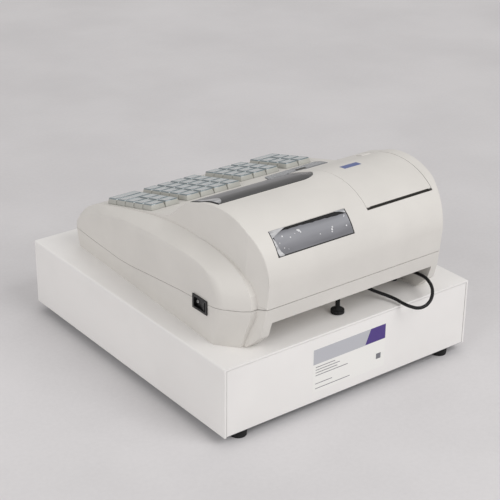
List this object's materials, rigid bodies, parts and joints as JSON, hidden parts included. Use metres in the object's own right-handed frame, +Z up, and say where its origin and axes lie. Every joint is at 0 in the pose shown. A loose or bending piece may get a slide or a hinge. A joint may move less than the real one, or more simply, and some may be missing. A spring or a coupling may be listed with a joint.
{
  "type": "ticket register on a cash drawer",
  "caption": "Keyboard register with ticket printer, hinged cover and display windows, standing on a sheet-steel cash drawer whose tray slides out with a note and coin insert.",
  "frame": {"origin": "on the counter under the feet, below the middle of the object's box without its cable", "axes": "+X towards the operator's right, +Y away from the operator to the customer's side, +Z up"},
  "size_m": [0.41, 0.4954, 0.2789],
  "materials": {
    "case_steel": "off-white powder coat",
    "plain_steel": "zinc-plated sheet steel",
    "foot_rubber": "black rubber",
    "tray_steel": "grey paint",
    "insert_plastic": "moulded, fine grain",
    "spring_steel": "bright spring steel",
    "lock_chrome": "polished",
    "latch_brass": "yellow zinc plate",
    "housing_plastic": "warm light grey, fine spark-eroded grain",
    "inner_plastic": "moulded, plain",
    "board_green": "solder mask",
    "supply_iron": "varnished laminations",
    "platen_rubber": "ground rubber",
    "paper_white": "smooth thermal paper",
    "clear_plastic": "clear grey, moulded",
    "smoked_window": "smoked acrylic, polished",
    "display_dark": "dark display glass",
    "switch_black": "black, satin",
    "cable_black": "black sheath",
    "key_plastic": "light grey body under a clear cap"
  },
  "bodies": {
    "case": {"drawer_case": "case_steel", "drawer_rear_panel": "case_steel", "drawer_base": "plain_steel", "drawer_feet": "foot_rubber", "slide_rails": "plain_steel", "solenoid_latch": "plain_steel", "kick_spring": "spring_steel", "lower_housing": "housing_plastic", "upper_housing": "housing_plastic", "keyboard_plate": "inner_plastic", "main_board": "board_green", "power_supply": "supply_iron", "printer_frame": "inner_plastic", "tear_bar": "clear_plastic", "operator_window": "smoked_window", "operator_display": "display_dark", "customer_window": "smoked_window", "customer_display": "display_dark", "switch_frame": "switch_black", "drawer_cable": "cable_black", "cable_plug": "cable_black", "cable_grommet": "cable_black"},
    "drawer": {"drawer_tray": "tray_steel", "tray_runners": "plain_steel", "drawer_front": "case_steel", "till_insert": "insert_plastic"},
    "clips": {"bill_clips": "spring_steel"},
    "lock": {"lock_barrel": "lock_chrome"},
    "latch": {"latch_lever": "latch_brass"},
    "cover": {"printer_cover": "housing_plastic"},
    "platen": {"platen_roller": "platen_rubber"},
    "roll": {"paper_roll": "paper_white"},
    "rocker": {"power_rocker": "switch_black"},
    "levelling": {"levelling_foot": "foot_rubber"},
    "numeric_0_key": {"key_numeric_0": "key_plastic"},
    "numeric_1_key": {"key_numeric_1": "key_plastic"},
    "numeric_2_key": {"key_numeric_2": "key_plastic"},
    "numeric_3_key": {"key_numeric_3": "key_plastic"},
    "numeric_4_key": {"key_numeric_4": "key_plastic"},
    "numeric_5_key": {"key_numeric_5": "key_plastic"},
    "numeric_6_key": {"key_numeric_6": "key_plastic"},
    "numeric_7_key": {"key_numeric_7": "key_plastic"},
    "numeric_8_key": {"key_numeric_8": "key_plastic"},
    "numeric_9_key": {"key_numeric_9": "key_plastic"},
    "numeric_10_key": {"key_numeric_10": "key_plastic"},
    "numeric_11_key": {"key_numeric_11": "key_plastic"},
    "total_0_key": {"key_total_0": "key_plastic"},
    "total_1_key": {"key_total_1": "key_plastic"},
    "function_row_0_key": {"key_function_row_0": "key_plastic"},
    "function_row_1_key": {"key_function_row_1": "key_plastic"},
    "function_row_2_key": {"key_function_row_2": "key_plastic"},
    "department_row_0_key": {"key_department_row_0": "key_plastic"},
    "department_row_1_key": {"key_department_row_1": "key_plastic"},
    "department_row_2_key": {"key_department_row_2": "key_plastic"},
    "department_row_3_key": {"key_department_row_3": "key_plastic"},
    "department_row_4_key": {"key_department_row_4": "key_plastic"},
    "feed_0_key": {"key_feed_0": "key_plastic"},
    "mode_row_0_key": {"key_mode_row_0": "key_plastic"},
    "mode_row_1_key": {"key_mode_row_1": "key_plastic"},
    "mode_row_2_key": {"key_mode_row_2": "key_plastic"}
  },
  "joints": [
    {"name": "drawer_slide", "type": "slide", "parent": "case", "child": "drawer", "axis": [0, -1, 0], "range_m": [0, 0.29]},
    {"name": "clip_hinge", "type": "hinge", "parent": "drawer", "child": "clips", "pos_m": [0, 0.15915, 0.0681], "axis": [-1, 0, 0], "range_deg": [0, 45], "stiffness_Nm_per_rad": 0.15, "springref_deg": -20.05},
    {"name": "lock_turn", "type": "hinge", "parent": "drawer", "child": "lock", "pos_m": [0, -0.23065, 0.0833], "axis": [0, -1, 0], "range_deg": [0, 90]},
    {"name": "latch_pivot", "type": "hinge", "parent": "case", "child": "latch", "pos_m": [0, 0.20995, 0.0599], "axis": [1, 0, 0], "range_deg": [-22, 0]},
    {"name": "cover_hinge", "type": "hinge", "parent": "case", "child": "cover", "pos_m": [-0.0855, 0.21021, 0.25311], "axis": [-1, 0, 0], "range_deg": [0, 90]},
    {"name": "platen_spin", "type": "hinge", "parent": "case", "child": "platen", "pos_m": [-0.063, 0.09665, 0.2549], "axis": [1, 0, 0], "continuous": true},
    {"name": "roll_spin", "type": "hinge", "parent": "case", "child": "roll", "pos_m": [-0.063, 0.15665, 0.2349], "axis": [1, 0, 0], "continuous": true},
    {"name": "rocker_tip", "type": "hinge", "parent": "case", "child": "rocker", "pos_m": [0.176, 0.14465, 0.1559], "axis": [0, 0, 1], "range_deg": [0, 18]},
    {"name": "levelling_turn", "type": "hinge", "parent": "case", "child": "levelling", "pos_m": [0, 0.19465, 0.1125], "axis": [0, 0, 1], "range_deg": [-180, 180]},
    {"name": "numeric_0_press", "type": "slide", "parent": "case", "child": "numeric_0_key", "axis": [0, 0.2419, -0.9703], "range_m": [0, 0.003], "stiffness_N_per_m": 280, "springref_m": -0.001},
    {"name": "numeric_1_press", "type": "slide", "parent": "case", "child": "numeric_1_key", "axis": [0, 0.2419, -0.9703], "range_m": [0, 0.003], "stiffness_N_per_m": 280, "springref_m": -0.001},
    {"name": "numeric_2_press", "type": "slide", "parent": "case", "child": "numeric_2_key", "axis": [0, 0.2419, -0.9703], "range_m": [0, 0.003], "stiffness_N_per_m": 280, "springref_m": -0.001},
    {"name": "numeric_3_press", "type": "slide", "parent": "case", "child": "numeric_3_key", "axis": [0, 0.2419, -0.9703], "range_m": [0, 0.003], "stiffness_N_per_m": 280, "springref_m": -0.001},
    {"name": "numeric_4_press", "type": "slide", "parent": "case", "child": "numeric_4_key", "axis": [0, 0.2419, -0.9703], "range_m": [0, 0.003], "stiffness_N_per_m": 280, "springref_m": -0.001},
    {"name": "numeric_5_press", "type": "slide", "parent": "case", "child": "numeric_5_key", "axis": [0, 0.2419, -0.9703], "range_m": [0, 0.003], "stiffness_N_per_m": 280, "springref_m": -0.001},
    {"name": "numeric_6_press", "type": "slide", "parent": "case", "child": "numeric_6_key", "axis": [0, 0.2419, -0.9703], "range_m": [0, 0.003], "stiffness_N_per_m": 280, "springref_m": -0.001},
    {"name": "numeric_7_press", "type": "slide", "parent": "case", "child": "numeric_7_key", "axis": [0, 0.2419, -0.9703], "range_m": [0, 0.003], "stiffness_N_per_m": 280, "springref_m": -0.001},
    {"name": "numeric_8_press", "type": "slide", "parent": "case", "child": "numeric_8_key", "axis": [0, 0.2419, -0.9703], "range_m": [0, 0.003], "stiffness_N_per_m": 280, "springref_m": -0.001},
    {"name": "numeric_9_press", "type": "slide", "parent": "case", "child": "numeric_9_key", "axis": [0, 0.2419, -0.9703], "range_m": [0, 0.003], "stiffness_N_per_m": 280, "springref_m": -0.001},
    {"name": "numeric_10_press", "type": "slide", "parent": "case", "child": "numeric_10_key", "axis": [0, 0.2419, -0.9703], "range_m": [0, 0.003], "stiffness_N_per_m": 280, "springref_m": -0.001},
    {"name": "numeric_11_press", "type": "slide", "parent": "case", "child": "numeric_11_key", "axis": [0, 0.2419, -0.9703], "range_m": [0, 0.003], "stiffness_N_per_m": 280, "springref_m": -0.001},
    {"name": "total_0_press", "type": "slide", "parent": "case", "child": "total_0_key", "axis": [0, 0.2419, -0.9703], "range_m": [0, 0.003], "stiffness_N_per_m": 280, "springref_m": -0.001},
    {"name": "total_1_press", "type": "slide", "parent": "case", "child": "total_1_key", "axis": [0, 0.2419, -0.9703], "range_m": [0, 0.003], "stiffness_N_per_m": 280, "springref_m": -0.001},
    {"name": "function_row_0_press", "type": "slide", "parent": "case", "child": "function_row_0_key", "axis": [0, 0.2419, -0.9703], "range_m": [0, 0.003], "stiffness_N_per_m": 280, "springref_m": -0.001},
    {"name": "function_row_1_press", "type": "slide", "parent": "case", "child": "function_row_1_key", "axis": [0, 0.2419, -0.9703], "range_m": [0, 0.003], "stiffness_N_per_m": 280, "springref_m": -0.001},
    {"name": "function_row_2_press", "type": "slide", "parent": "case", "child": "function_row_2_key", "axis": [0, 0.2419, -0.9703], "range_m": [0, 0.003], "stiffness_N_per_m": 280, "springref_m": -0.001},
    {"name": "department_row_0_press", "type": "slide", "parent": "case", "child": "department_row_0_key", "axis": [0, 0.2419, -0.9703], "range_m": [0, 0.003], "stiffness_N_per_m": 280, "springref_m": -0.001},
    {"name": "department_row_1_press", "type": "slide", "parent": "case", "child": "department_row_1_key", "axis": [0, 0.2419, -0.9703], "range_m": [0, 0.003], "stiffness_N_per_m": 280, "springref_m": -0.001},
    {"name": "department_row_2_press", "type": "slide", "parent": "case", "child": "department_row_2_key", "axis": [0, 0.2419, -0.9703], "range_m": [0, 0.003], "stiffness_N_per_m": 280, "springref_m": -0.001},
    {"name": "department_row_3_press", "type": "slide", "parent": "case", "child": "department_row_3_key", "axis": [0, 0.2419, -0.9703], "range_m": [0, 0.003], "stiffness_N_per_m": 280, "springref_m": -0.001},
    {"name": "department_row_4_press", "type": "slide", "parent": "case", "child": "department_row_4_key", "axis": [0, 0.2419, -0.9703], "range_m": [0, 0.003], "stiffness_N_per_m": 280, "springref_m": -0.001},
    {"name": "feed_0_press", "type": "slide", "parent": "case", "child": "feed_0_key", "axis": [0, 0.2419, -0.9703], "range_m": [0, 0.003], "stiffness_N_per_m": 280, "springref_m": -0.001},
    {"name": "mode_row_0_press", "type": "slide", "parent": "case", "child": "mode_row_0_key", "axis": [0, 0.2419, -0.9703], "range_m": [0, 0.003], "stiffness_N_per_m": 280, "springref_m": -0.001},
    {"name": "mode_row_1_press", "type": "slide", "parent": "case", "child": "mode_row_1_key", "axis": [0, 0.2419, -0.9703], "range_m": [0, 0.003], "stiffness_N_per_m": 280, "springref_m": -0.001},
    {"name": "mode_row_2_press", "type": "slide", "parent": "case", "child": "mode_row_2_key", "axis": [0, 0.2419, -0.9703], "range_m": [0, 0.003], "stiffness_N_per_m": 280, "springref_m": -0.001}
  ]
}
